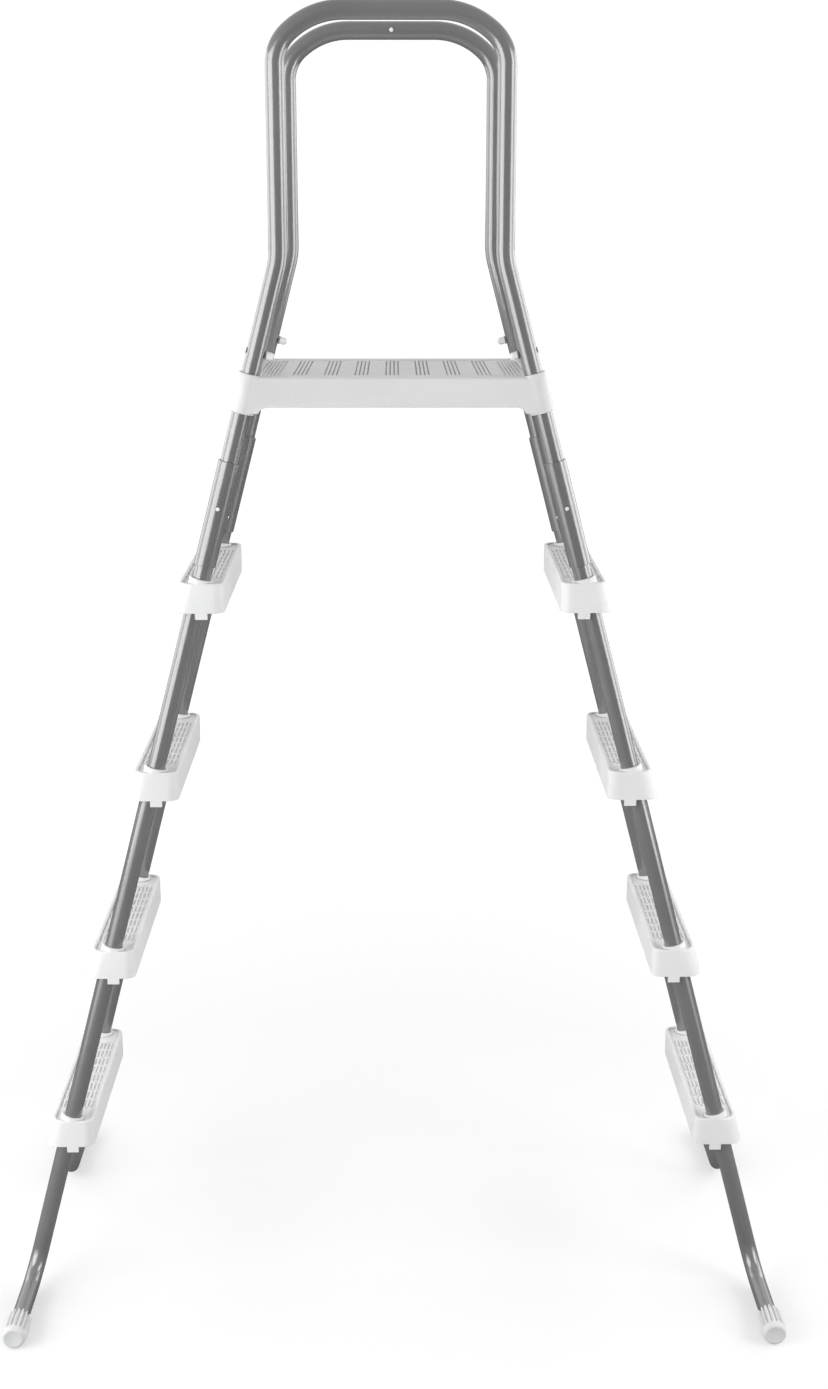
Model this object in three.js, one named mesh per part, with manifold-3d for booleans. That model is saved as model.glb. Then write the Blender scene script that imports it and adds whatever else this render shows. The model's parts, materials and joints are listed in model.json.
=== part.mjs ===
// A-frame pool ladder: two bent handrails carry a moulded platform, and a ladder section with
// four moulded steps plugs onto the handrail ends on each side, held by sprung snap buttons.
// Millimetres, +Z up, origin on the floor below the middle of the platform.
// X runs from the left ladder section to the right one, Y across the width of the steps.

import * as THREE from "three";
import { mergeVertices } from "three/addons/utils/BufferGeometryUtils.js";
import Module from "manifold-3d";

const wasm = await Module();
wasm.setup();

// ---- Driving dimensions ----

const FIRST_RISE = 281; // floor to the top of the lowest step
const STEP_RISE = 272; // from each step to the next
const LAST_RISE = 280; // from the top step to the platform
const STEPS = 4; // on each side
const DECK_Z = FIRST_RISE + (STEPS - 1) * STEP_RISE + LAST_RISE; // top of the platform
const LEAN = (15 * Math.PI) / 180; // leg tubes from the vertical
const TOP_HALF_SPREAD = 192; // tube centre from the middle, at the deck
const TUBE_PLANE = 160; // tube centre from the middle, across the width
const GAP = 0.3; // clearance between neighbouring pieces

const TUBE_R = 12.7; // one inch tube
const TUBE_WALL = 1.5;
const SLEEVE_R = 15.2;
const SLEEVE_BORE_R = 13.6;
const SLEEVE_TOP_Z = DECK_Z - 114;
const SLEEVE_BOTTOM_Z = DECK_Z - 257;
const RAIL_END_Z = DECK_Z - 197; // lower end of the handrail, inside its sleeve
const LEG_TOP_Z = RAIL_END_Z - 4; // upper end of the leg tube, just below it

const RAIL_HALF_SPREAD = 151; // upright part of the handrail
const RAIL_TOP_Z = DECK_Z + 463; // centreline of the top bar
const RAIL_CORNER = { drop: 42, width: 50 }; // each corner is a tight bend, then an easy one
const RAIL_CORNER_R = 54;
const RAIL_CROWN_R = 105;
const RAIL_KINK_R = 100;
const LEG_BEND_R = 52;
const FOOT_END = 335; // end of the leg tube, across the width

const BUTTON_Z = DECK_Z - 177;
const BUTTON_R = 2.8;
const BUTTON_PROUD = 0.8; // of the sleeve
const LEAF = { halfWidth: 3.5, inner: 8.2, outer: 9, low: -9, high: 26 }; // the button's spring
const RIVET_Z = SLEEVE_BOTTOM_Z + 20;
const RIVET_R = 2.4;
const RIVET_HEAD = { radius: 4.5, height: 1.6 };
const BOLT_Z = DECK_Z + 32;
const BOLT_R = 3;
const BOLT_HEAD = { radius: 4.6, height: 1.4 };
const BOLT_END = 24; // from the tube's centreline
const NUT = { radius: 5.2, end: 26, flange: 6, thickness: 2 };
const PLUG = { radius: 2, inside: 3, head: 3, height: 1.6 }; // in the top bar

const CAP_MOUTH = 293; // open end of the foot cap, across the width
const CAP_END = 350;
const CAP_R = 18.5;
const CAP_MOUTH_R = 15;
const CAP_FLOOR = FOOT_END + 0.8; // bottom of its bore
const CAP_FLAT = 0.3; // depth of the flat under each cap
const FOOT_AXIS_Z = CAP_R - CAP_FLAT;

const COLLAR_R = 17; // round each tube, on the platform and on the steps
const HOLE_R = 13.2; // in the mouldings, for the tube
const HALF_WIDTH = TUBE_PLANE + COLLAR_R; // platform and steps, across the width
const SKIN = 3; // moulded wall
const TREAD_RECESS = 2.5;
const RIB = 3; // thickness of the ribs underneath
const BITE = 2; // overlap where one solid is joined to another, or cuts through it

const APRON = 40; // height of the platform's skirt
const DECK_EDGE = 4; // radius of its top edge
const DECK_COLLAR = { above: 4, below: 48 }; // from the deck
const DECK_PANEL = { x: 186, y: 139, corner: 8 }; // half sizes of the recess in the deck
const DECK_RIBS = { x: 90, y: 80, depth: 28 }; // from the middle, and down from the deck
const GUSSET = { drop: 8, reach: 20, curve: 5 }; // below the skirt, and along it

const STEP_INNER = 32.5; // tread edge from the tube centre, towards the middle
const STEP_OUTER = 30.5; // and away from it
const STEP_FLARE = 11; // the outer skirt leans out by this much at its foot
const STEP_SKIRT = 42;
const STEP_EDGE = 2.5; // radius of its top edge
const STEP_CORNERS = { inner: 16, outer: 22 };
const STEP_COLLAR = { above: 5, below: 38 }; // from the tread
const STEP_LIP = 5; // width of the rim round the tread
const STEP_RIBS = { places: [-80, 0, 80], depth: 26 }; // down from the tread
const TAB = { x0: -9, x1: 8, drop: 8.5, thickness: 3.5 }; // under each end wall
const PIN_BELOW_TREAD = 30;
const PIN_R = 3;
const PIN_HEAD = { radius: 5, height: 2.5 };
const PIN_INSIDE = 1; // how far it enters the leg tube

const SIDES = [["left", -1], ["right", 1]];
const ENDS = [["near", -1], ["far", 1]];

// ---- Materials ----

const finish = (color, roughness, metalness) =>
  new THREE.MeshStandardMaterial({ color, roughness, metalness });
const paint = finish(0x6f6d6d, 0.35, 0.3);
const panel = finish(0xe4e4e6, 0.45, 0);
const tread = finish(0xd6d6d8, 0.5, 0);
const fitting = finish(0xf0f0f0, 0.4, 0);
const rubber = finish(0xdcdcdc, 0.7, 0);
const zinc = finish(0xb4b8bc, 0.35, 0.9);

// ---- Solids ----

function solid(geometry) {
  const bare = geometry.clone();
  for (const name of ["normal", "uv"]) bare.deleteAttribute(name);
  const merged = mergeVertices(bare, 1e-4);
  return new wasm.Manifold(new wasm.Mesh({
    numProp: 3,
    vertProperties: new Float32Array(merged.attributes.position.array),
    triVerts: new Uint32Array(merged.index.array),
  }));
}

function geometryOf(manifold) {
  const mesh = manifold.getMesh();
  const geometry = new THREE.BufferGeometry();
  geometry.setAttribute("position", new THREE.BufferAttribute(mesh.vertProperties, 3));
  geometry.setIndex(new THREE.BufferAttribute(mesh.triVerts, 1));
  return geometry;
}

const joined = (first, ...rest) => rest.reduce((sum, next) => sum.add(solid(next)), first);
const cut = (first, ...rest) => rest.reduce((sum, next) => sum.subtract(solid(next)), first);

// The same piece on the other side or the other end, with its faces still pointing out.
function mirrored(geometry, side, end) {
  const copy = geometry.clone().scale(side, end, 1);
  if (side * end > 0) return copy;
  const order = copy.index.array;
  for (let i = 0; i < order.length; i += 3) {
    [order[i], order[i + 1]] = [order[i + 1], order[i]];
  }
  return copy;
}

function box(x0, x1, y0, y1, z0, z1) {
  return new THREE.BoxGeometry(x1 - x0, y1 - y0, z1 - z0)
    .translate((x0 + x1) / 2, (y0 + y1) / 2, (z0 + z1) / 2);
}

// A cylinder that points along +Y from y0 to y1.
function peg(radius, y0, y1, sides = 12) {
  return new THREE.CylinderGeometry(radius, radius, y1 - y0, sides).translate(0, (y0 + y1) / 2, 0);
}

// A turned piece on the Y axis, from a closed profile of [radius, y] points.
function turned(profile, sides) {
  return new THREE.LatheGeometry(profile.map(([r, y]) => new THREE.Vector2(r, y)), sides);
}

function roundedRectangle(x0, x1, y0, y1, r) {
  const shape = new THREE.Shape();
  shape.absarc(x1 - r, y1 - r, r, 0, Math.PI / 2, false);
  shape.absarc(x0 + r, y1 - r, r, Math.PI / 2, Math.PI, false);
  shape.absarc(x0 + r, y0 + r, r, Math.PI, 1.5 * Math.PI, false);
  shape.absarc(x1 - r, y0 + r, r, 1.5 * Math.PI, 2 * Math.PI, false);
  return shape;
}

function slab(shape, z0, z1, curveSegments = 2) {
  const options = { depth: z1 - z0, bevelEnabled: false, curveSegments };
  return new THREE.ExtrudeGeometry(shape, options).translate(0, 0, z0);
}

// ---- The leaning legs: X of the right leg's centreline, and a place on it ----

const legX = (z) => TOP_HALF_SPREAD + Math.tan(LEAN) * (DECK_Z - z);

// Moves a geometry from the origin to the right leg's centreline at height z, leaning with it.
// Its +Z then runs up the leg, -X points at the middle of the ladder, and Y stays.
function onLeg(geometry, z, y = 0) {
  return geometry.clone().rotateY(-LEAN).translate(legX(z), y, z);
}

// A straight round bar along the right leg, with its ends square to it at heights z0 and z1.
function legBar(radius, z0, z1, sides = 16) {
  const length = (z1 - z0) / Math.cos(LEAN);
  const bar = new THREE.CylinderGeometry(radius, radius, length, sides).rotateX(Math.PI / 2);
  return onLeg(bar, (z0 + z1) / 2);
}

// ---- Bent tubes ----

// Straight runs between points, with a round bend of the given radius at each inner point.
class BentPath extends THREE.Curve {
  constructor(points, radii, bendSteps) {
    super();
    this.stations = [];
    const start = points[1].clone().sub(points[0]).normalize();
    this.stations.push([points[0], start]);
    for (let i = 1; i < points.length - 1; i++) {
      const into = points[i].clone().sub(points[i - 1]).normalize();
      const out = points[i + 1].clone().sub(points[i]).normalize();
      const turn = into.angleTo(out);
      const radius = radii[i - 1];
      const side = out.clone().addScaledVector(into, -into.dot(out)).normalize();
      const centre = points[i].clone()
        .addScaledVector(into, -radius * Math.tan(turn / 2))
        .addScaledVector(side, radius);
      const steps = bendSteps[i - 1];
      for (let k = 0; k <= steps; k++) {
        const angle = (turn * k) / steps;
        const point = centre.clone()
          .addScaledVector(side, -radius * Math.cos(angle))
          .addScaledVector(into, radius * Math.sin(angle));
        const tangent = into.clone().multiplyScalar(Math.cos(angle))
          .addScaledVector(side, Math.sin(angle));
        this.stations.push([point, tangent]);
      }
    }
    const last = points[points.length - 1];
    this.stations.push([last, last.clone().sub(points[points.length - 2]).normalize()]);
  }

  station(u) {
    return this.stations[Math.round(u * (this.stations.length - 1))];
  }

  getPointAt(u, target = new THREE.Vector3()) {
    return target.copy(this.station(u)[0]);
  }

  getTangentAt(u, target = new THREE.Vector3()) {
    return target.copy(this.station(u)[1]);
  }
}

function ring(radius, sides) {
  return Array.from({ length: sides }, (_, k) => {
    const angle = (2 * Math.PI * k) / sides;
    return new THREE.Vector2(radius * Math.cos(angle), radius * Math.sin(angle));
  });
}

function tube(points, radii, bendSteps) {
  const path = new BentPath(points, radii, bendSteps);
  const section = new THREE.Shape(ring(TUBE_R, 16));
  section.holes.push(new THREE.Path(ring(TUBE_R - TUBE_WALL, 8)));
  const steps = path.stations.length - 1;
  return new THREE.ExtrudeGeometry(section, { steps, extrudePath: path });
}

const point = (x, y, z) => new THREE.Vector3(x, y, z);

// ---- Pieces ----

const ladder = new THREE.Group();

function add(name, geometry, material, place = [0, 0, 0]) {
  const mesh = new THREE.Mesh(geometry, material);
  mesh.name = name;
  mesh.position.set(...place);
  ladder.add(mesh);
}

// One bent tube: up from each sleeve at the legs' lean, then upright, then over the top.
// Its outer face (-Y) has the button holes and its inner face (+Y) the hole for the plug.
function handrail() {
  const kinkZ = DECK_Z + (TOP_HALF_SPREAD - RAIL_HALF_SPREAD) / Math.tan(LEAN);
  const points = [
    point(-legX(RAIL_END_Z), 0, RAIL_END_Z),
    point(-RAIL_HALF_SPREAD, 0, kinkZ),
    point(-RAIL_HALF_SPREAD, 0, RAIL_TOP_Z - RAIL_CORNER.drop),
    point(RAIL_CORNER.width - RAIL_HALF_SPREAD, 0, RAIL_TOP_Z),
    point(RAIL_HALF_SPREAD - RAIL_CORNER.width, 0, RAIL_TOP_Z),
    point(RAIL_HALF_SPREAD, 0, RAIL_TOP_Z - RAIL_CORNER.drop),
    point(RAIL_HALF_SPREAD, 0, kinkZ),
    point(legX(RAIL_END_Z), 0, RAIL_END_Z),
  ];
  const half = [RAIL_KINK_R, RAIL_CORNER_R, RAIL_CROWN_R];
  let body = solid(tube(points, [...half, ...half.toReversed()], [2, 3, 3, 3, 3, 2]));
  for (const [, side] of SIDES) {
    const button = mirrored(onLeg(peg(BUTTON_R + GAP, -TUBE_R - BITE, 0), BUTTON_Z), side, 1);
    const bolt = peg(BOLT_R + GAP, -TUBE_R - BITE, TUBE_R + BITE).rotateZ(Math.PI / 2);
    body = cut(body, button, mirrored(onLeg(bolt, BOLT_Z), side, 1));
  }
  const plug = peg(PLUG.radius + GAP, 0, TUBE_R + BITE).translate(0, 0, RAIL_TOP_Z);
  return geometryOf(cut(body, plug));
}

// A blind plug in the top bar, with a low head outside the tube.
function railPlug() {
  const { radius, inside, head, height } = PLUG;
  const face = TUBE_R + GAP;
  const profile = [[0, TUBE_R - inside], [radius, TUBE_R - inside], [radius, face], [head, face],
    [head, face + 0.6 * height], [0.7 * head, face + height], [0, face + height]];
  return turned(profile, 12);
}

// The bolt crosses the handrail in its plane: low head outside, thread towards the middle.
function handrailBolt() {
  const { radius, height } = BOLT_HEAD;
  const face = TUBE_R + GAP;
  const profile = [[0, -BOLT_END], [BOLT_R, -BOLT_END], [BOLT_R, face], [radius, face],
    [radius, face + 0.3 * height], [0.65 * radius, face + 0.8 * height], [0, face + height]];
  return onLeg(turned(profile, 12).rotateZ(-Math.PI / 2), BOLT_Z);
}

// A domed nut on the inner end of that bolt.
function capNut() {
  const { radius, end, flange, thickness } = NUT;
  const face = -TUBE_R - GAP;
  const dome = [[0, -end], [0.46 * radius, 0.08 * radius - end], [0.85 * radius, 0.38 * radius - end],
    [radius, 0.8 * radius - end]];
  const foot = [[radius, face - thickness], [flange, face - thickness], [flange, face]];
  const bore = [[BOLT_R + GAP, face], [BOLT_R + GAP, -BOLT_END - GAP], [0, -BOLT_END - GAP]];
  return onLeg(turned([...dome, ...foot, ...bore], 12).rotateZ(-Math.PI / 2), BOLT_Z);
}

// A convex block whose outline runs round all four leg tubes. At each level [z, radius] that
// is the outline's radius about the tube centres, which spread apart as the legs do.
function aroundLegs(levels) {
  const points = [];
  for (const [z, radius] of levels) {
    for (const [, side] of SIDES) {
      for (const [, end] of ENDS) {
        for (const [dx, dy] of quarterArc(radius)) {
          points.push([side * (legX(z) + dx), end * (TUBE_PLANE + dy), z]);
        }
      }
    }
  }
  return wasm.Manifold.hull(points);
}

function quarterArc(radius, steps = 4) {
  return Array.from({ length: steps + 1 }, (_, k) => {
    const angle = (Math.PI / 2) * (k / steps);
    return [radius * Math.cos(angle), radius * Math.sin(angle)];
  });
}

// Levels of a block with a rounded top edge, from its foot up.
function roundedTop(foot, top, radius, edge) {
  return [[foot, radius], [top - edge, radius], [top - 0.3 * edge, radius - 0.3 * edge],
    [top, radius - edge]];
}

// A moulded deck with a skirt all round, ribs underneath and a slanted collar at each corner.
function platform() {
  const under = DECK_Z - APRON;
  const roof = DECK_Z - TREAD_RECESS - SKIN;
  const hollow = aroundLegs([[under - BITE, COLLAR_R - SKIN], [roof, COLLAR_R - SKIN]]);
  const { x: panelX, y: panelY, corner } = DECK_PANEL;
  const recess = slab(roundedRectangle(-panelX, panelX, -panelY, panelY, corner),
    DECK_Z - TREAD_RECESS, DECK_Z + BITE);
  let body = aroundLegs(roundedTop(under, DECK_Z, COLLAR_R, DECK_EDGE)).subtract(hollow);
  body = cut(body, recess);

  const ribX = legX(DECK_Z) + COLLAR_R - BITE;
  const ribY = HALF_WIDTH - BITE;
  const ribFoot = DECK_Z - DECK_RIBS.depth;
  for (const y of [-DECK_RIBS.y, DECK_RIBS.y]) {
    body = joined(body, box(-ribX, ribX, y - RIB / 2, y + RIB / 2, ribFoot, roof + BITE));
  }
  for (const x of [-DECK_RIBS.x, DECK_RIBS.x]) {
    body = joined(body, box(x - RIB / 2, x + RIB / 2, -ribY, ribY, ribFoot, roof + BITE));
  }

  const collar = legBar(COLLAR_R, DECK_Z - DECK_COLLAR.below, DECK_Z + DECK_COLLAR.above)
    .translate(0, TUBE_PLANE, 0);
  for (const [, side] of SIDES) {
    for (const [, end] of ENDS) {
      body = joined(body,
        mirrored(indexed(collar), side, end), mirrored(indexed(gusset(under)), side, end));
    }
  }
  const hole = legBar(HOLE_R, DECK_Z - 2 * DECK_COLLAR.below, DECK_Z + DECK_COLLAR.below)
    .translate(0, TUBE_PLANE, 0);
  for (const [, side] of SIDES) {
    for (const [, end] of ENDS) body = cut(body, mirrored(indexed(hole), side, end));
  }
  return geometryOf(body);
}

// A small web in the plane of the skirt, from its foot to the lower end of a collar.
function gusset(under) {
  const { drop, reach, curve } = GUSSET;
  const edge = legX(under) - COLLAR_R;
  const low = under - drop;
  const shape = new THREE.Shape([
    new THREE.Vector2(edge - reach, under + BITE),
    new THREE.Vector2(edge - 0.6 * reach, low + curve),
    new THREE.Vector2(edge - 0.3 * reach, low),
    new THREE.Vector2(legX(low), low),
    new THREE.Vector2(legX(under), under + BITE),
  ]);
  return new THREE.ExtrudeGeometry(shape, { depth: SKIN, bevelEnabled: false })
    .rotateX(Math.PI / 2).translate(0, HALF_WIDTH, 0);
}

// Faces by index, for a geometry that has none.
function indexed(geometry) {
  const bare = geometry.clone();
  for (const name of ["normal", "uv"]) bare.deleteAttribute(name);
  return mergeVertices(bare, 1e-4);
}

// A sleeve over the joint between handrail and leg, with the button's hole on its outer face.
function sleeve() {
  const button = onLeg(peg(BUTTON_R + GAP, 0, SLEEVE_R + BITE), BUTTON_Z);
  const rivet = onLeg(peg(RIVET_R + GAP, -SLEEVE_R - BITE, 0), RIVET_Z);
  const wall = cut(
    solid(legBar(SLEEVE_R, SLEEVE_BOTTOM_Z, SLEEVE_TOP_Z)),
    legBar(SLEEVE_BORE_R, SLEEVE_BOTTOM_Z - BITE, SLEEVE_TOP_Z + BITE), button, rivet);
  return geometryOf(wall.translate(0, TUBE_PLANE, 0));
}

// A blind rivet that holds the sleeve on the leg tube, on the face towards the middle.
function sleeveRivet() {
  const { radius, height } = RIVET_HEAD;
  const face = -SLEEVE_R - GAP;
  const tip = 2 * TUBE_WALL - TUBE_R;
  const profile = [[0, face - height], [0.6 * radius, face - 0.85 * height], [radius, face],
    [RIVET_R, face], [RIVET_R, tip], [0, tip]];
  return onLeg(turned(profile, 12), RIVET_Z, TUBE_PLANE);
}

// A button with its spring leaf: the leaf lies inside the handrail, the button passes through
// the handrail and the sleeve.
function snapButton() {
  const tip = SLEEVE_R + BUTTON_PROUD;
  const { halfWidth, inner, outer, low, high } = LEAF;
  const profile = [[0, (inner + outer) / 2], [BUTTON_R, (inner + outer) / 2],
    [BUTTON_R, SLEEVE_R], [0.7 * BUTTON_R, tip - 0.2 * BUTTON_PROUD], [0, tip]];
  const leaf = box(-halfWidth, halfWidth, inner, outer, low, high);
  const body = joined(solid(turned(profile, 12)), leaf);
  return onLeg(geometryOf(body), BUTTON_Z, TUBE_PLANE);
}

// Down the lean from the sleeve, then round a bend to lie on the floor, pointing outwards.
function leg() {
  const points = [
    point(legX(LEG_TOP_Z), 0, LEG_TOP_Z),
    point(legX(FOOT_AXIS_Z), 0, FOOT_AXIS_Z),
    point(legX(FOOT_AXIS_Z), FOOT_END - TUBE_PLANE, FOOT_AXIS_Z),
  ];
  let body = solid(tube(points, [LEG_BEND_R], [5]));
  body = cut(body, onLeg(peg(RIVET_R + GAP, -TUBE_R - BITE, 0), RIVET_Z));
  for (const z of stepHeights) {
    body = cut(body, onLeg(peg(PIN_R + GAP, -TUBE_R - BITE, 0, 8), z - PIN_BELOW_TREAD));
  }
  return geometryOf(body.translate(0, TUBE_PLANE, 0));
}

const stepHeights = Array.from({ length: STEPS }, (_, k) => DECK_Z - LAST_RISE - k * STEP_RISE);

// A locking pin through the step's collar into the leg, headed on the inside.
function stepPin() {
  const { radius, height } = PIN_HEAD;
  const face = -COLLAR_R - GAP;
  const tip = TUBE_WALL + PIN_INSIDE - TUBE_R;
  const profile = [[0, face - height], [radius, face - height], [radius, face], [PIN_R, face],
    [PIN_R, tip], [0, tip]];
  return turned(profile, 8);
}

// A convex block in the step's plan: rounded corners, and an outer side that leans out.
function inStepPlan(levels) {
  const points = [];
  for (const [z, inset] of levels) {
    const outer = STEP_OUTER - (STEP_FLARE * z) / STEP_SKIRT - inset;
    const inner = -STEP_INNER + inset;
    const half = HALF_WIDTH - inset;
    const outerR = STEP_CORNERS.outer - inset;
    const innerR = STEP_CORNERS.inner - inset;
    for (const [, end] of ENDS) {
      for (const [dx, dy] of quarterArc(outerR, 3)) {
        points.push([outer - outerR + dx, end * (half - outerR + dy), z]);
      }
      for (const [dx, dy] of quarterArc(innerR, 3)) {
        points.push([inner + innerR - dx, end * (half - innerR + dy), z]);
      }
    }
  }
  return wasm.Manifold.hull(points);
}

// A moulded step: a recessed tread, a skirt that flares out on the outer side, and a collar at
// each end for the leg tube. Its origin is level with the tubes' centreline at the tread.
function step() {
  const roof = -TREAD_RECESS - SKIN;
  const outside = [[-STEP_SKIRT, 0], [-STEP_EDGE, 0], [-0.3 * STEP_EDGE, 0.3 * STEP_EDGE],
    [0, STEP_EDGE]];
  let body = inStepPlan(outside)
    .subtract(inStepPlan([[-STEP_SKIRT - BITE, SKIN], [roof, SKIN]]))
    .subtract(inStepPlan([[-TREAD_RECESS, STEP_LIP], [BITE, STEP_LIP]]));

  const lean = (geometry) => geometry.clone().rotateY(-LEAN);
  const bar = (radius, z0, z1) => {
    const rod = new THREE.CylinderGeometry(radius, radius, (z1 - z0) / Math.cos(LEAN), 16);
    return lean(rod.rotateX(Math.PI / 2).translate(0, 0, (z0 + z1) / 2 / Math.cos(LEAN)));
  };
  for (const y of STEP_RIBS.places) {
    body = joined(body, box(BITE - STEP_INNER, STEP_OUTER - BITE, y - RIB / 2, y + RIB / 2,
      -STEP_RIBS.depth, roof + BITE));
  }
  const wallY = HALF_WIDTH - TAB.thickness / 2;
  const tab = box(TAB.x0, TAB.x1, -TAB.thickness / 2, TAB.thickness / 2,
    -STEP_SKIRT - TAB.drop, BITE - STEP_SKIRT);
  const collar = bar(COLLAR_R, -STEP_COLLAR.below, STEP_COLLAR.above);
  for (const [, end] of ENDS) {
    body = joined(body, collar.clone().translate(0, end * TUBE_PLANE, 0),
      tab.clone().translate(0, end * wallY, 0));
  }
  const pin = lean(peg(PIN_R + GAP, -COLLAR_R - BITE, 0, 8)
    .translate(0, 0, -PIN_BELOW_TREAD / Math.cos(LEAN)));
  const hole = bar(HOLE_R, -2 * STEP_SKIRT, STEP_SKIRT);
  for (const [, end] of ENDS) {
    body = cut(body, hole.clone().translate(0, end * TUBE_PLANE, 0),
      mirrored(pin, 1, end).translate(0, end * TUBE_PLANE, 0));
  }
  return geometryOf(body);
}

// A cap over the end of the leg tube: narrow at the mouth, wide at the closed end, with a flat
// to stand on.
function footCap() {
  const profile = [
    [HOLE_R, CAP_MOUTH], [CAP_MOUTH_R, CAP_MOUTH], [CAP_MOUTH_R + 1.6, CAP_MOUTH + 8],
    [CAP_R, CAP_MOUTH + 22], [CAP_R, CAP_END - 10], [CAP_R - 1.2, CAP_END - 3],
    [CAP_R - 4.5, CAP_END], [0, CAP_END], [0, CAP_FLOOR], [HOLE_R, CAP_FLOOR],
    [HOLE_R, CAP_MOUTH],
  ];
  const cup = solid(turned(profile, 16).rotateY(Math.PI / 16));
  const ground = box(-CAP_R - BITE, CAP_R + BITE, CAP_MOUTH - BITE, CAP_END + BITE,
    -CAP_R - BITE, -FOOT_AXIS_Z);
  return geometryOf(cut(cup, ground).translate(legX(FOOT_AXIS_Z), 0, FOOT_AXIS_Z));
}

// ---- Assembly ----

const railShape = handrail();
const nutShape = capNut();
const boltShape = handrailBolt();
const sleeveShape = sleeve();
const rivetShape = sleeveRivet();
const buttonShape = snapButton();
const legShape = leg();
const stepShape = step();
const pinShape = stepPin();
const capShape = footCap();

add("platform", platform(), panel);
for (const [endName, end] of ENDS) {
  const y = end * TUBE_PLANE;
  add(`handrail_${endName}`, mirrored(railShape, 1, -end), paint, [0, y, 0]);
  add(`rail_plug_${endName}`, mirrored(railPlug(), 1, -end), fitting, [0, y, RAIL_TOP_Z]);
}

for (const [sideName, side] of SIDES) {
  for (const [endName, end] of ENDS) {
    const y = end * TUBE_PLANE;
    const tag = `${sideName}_${endName}`;
    add(`handrail_bolt_${tag}`, mirrored(boltShape, side, 1), zinc, [0, y, 0]);
    add(`cap_nut_${tag}`, mirrored(nutShape, side, 1), fitting, [0, y, 0]);
    add(`sleeve_${tag}`, mirrored(sleeveShape, side, end), paint);
    add(`sleeve_rivet_${tag}`, mirrored(rivetShape, side, end), zinc);
    add(`snap_button_${tag}`, mirrored(buttonShape, side, end), fitting);
    add(`leg_${tag}`, mirrored(legShape, side, end), paint);
    add(`foot_cap_${tag}`, mirrored(capShape, side, end), rubber);
    stepHeights.forEach((z, k) => {
      const pinZ = z - PIN_BELOW_TREAD;
      add(`step_pin_${tag}_${STEPS - k}`, mirrored(pinShape, side, end), fitting,
        [side * legX(pinZ), y, pinZ]);
    });
  }
  stepHeights.forEach((z, k) => {
    add(`step_${sideName}_${STEPS - k}`, mirrored(stepShape, side, 1), tread,
      [side * legX(z), 0, z]);
  });
}

export default ladder;
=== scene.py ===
"""Looks for an A-frame pool ladder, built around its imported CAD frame.

Every piece is a fine mesh that stands in for one CAD node and rides on that node's body.
All lengths are metres in the frame's own axes: X between the two ladder sections, Y across the
width of the steps, Z up.
"""

import json
import math

import bmesh
import bpy
from mathutils import Matrix, Vector

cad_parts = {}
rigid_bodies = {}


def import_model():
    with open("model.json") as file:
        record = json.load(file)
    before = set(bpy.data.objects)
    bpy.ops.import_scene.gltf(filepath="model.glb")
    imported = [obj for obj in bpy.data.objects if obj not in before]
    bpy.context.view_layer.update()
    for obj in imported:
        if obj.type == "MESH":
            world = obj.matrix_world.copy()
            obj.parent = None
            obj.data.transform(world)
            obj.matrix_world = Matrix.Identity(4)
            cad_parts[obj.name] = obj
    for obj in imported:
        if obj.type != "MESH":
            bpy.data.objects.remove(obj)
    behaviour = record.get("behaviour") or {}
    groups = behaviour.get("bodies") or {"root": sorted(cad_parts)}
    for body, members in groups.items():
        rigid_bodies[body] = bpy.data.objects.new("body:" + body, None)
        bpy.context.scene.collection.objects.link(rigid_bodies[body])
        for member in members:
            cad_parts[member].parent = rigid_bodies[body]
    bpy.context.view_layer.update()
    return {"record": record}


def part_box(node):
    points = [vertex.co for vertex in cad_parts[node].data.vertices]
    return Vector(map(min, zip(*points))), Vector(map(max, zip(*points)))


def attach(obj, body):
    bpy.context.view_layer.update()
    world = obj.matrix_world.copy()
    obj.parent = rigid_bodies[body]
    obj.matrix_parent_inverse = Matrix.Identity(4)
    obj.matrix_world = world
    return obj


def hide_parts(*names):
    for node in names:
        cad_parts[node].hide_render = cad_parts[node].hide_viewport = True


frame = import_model()

# ---- Sizes ----

MM = 0.001
record = frame["record"]
mounts = {m["name"]: Vector(m["pos_m"]) for m in record["mounts"]}
joints = {j["name"]: j for j in record["behaviour"]["joints"]}

lean_axis = Vector(joints["right_ladder_release"]["axis"])  # down the right leg
LEAN = math.atan2(lean_axis.x, -lean_axis.z)
TREAD_RECESS = 2.5 * MM
DECK_Z = mounts["platform_deck"].z + TREAD_RECESS
FOOT_X = mounts["foot_right_near"].x
GAP = 0.3 * MM  # clearance between neighbouring pieces
BITE = 2 * MM  # overlap where one solid is joined to another, or cuts through it

TUBE_R = 12.7 * MM
TUBE_WALL = 1.5 * MM
TUBE_PLANE = sum(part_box("handrail_far")[k].y for k in (0, 1)) / 2
RAIL_TOP_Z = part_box("handrail_far")[1].z - TUBE_R
RAIL_HALF_SPREAD = 151 * MM
RAIL_CORNER_DROP = 42 * MM
RAIL_CORNER_WIDTH = 50 * MM
RAIL_CORNER_R = 54 * MM
RAIL_CROWN_R = 105 * MM
RAIL_KINK_R = 100 * MM
RAIL_END_Z = DECK_Z - 197 * MM
LEG_TOP_Z = RAIL_END_Z - 4 * MM
LEG_BEND_R = 52 * MM
FOOT_AXIS_Z = 18.2 * MM
FOOT_END = 335 * MM
SLEEVE_R = 15.2 * MM
SLEEVE_BORE_R = 13.6 * MM
SLEEVE_TOP_Z = DECK_Z - 114 * MM
SLEEVE_BOTTOM_Z = DECK_Z - 257 * MM

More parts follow.
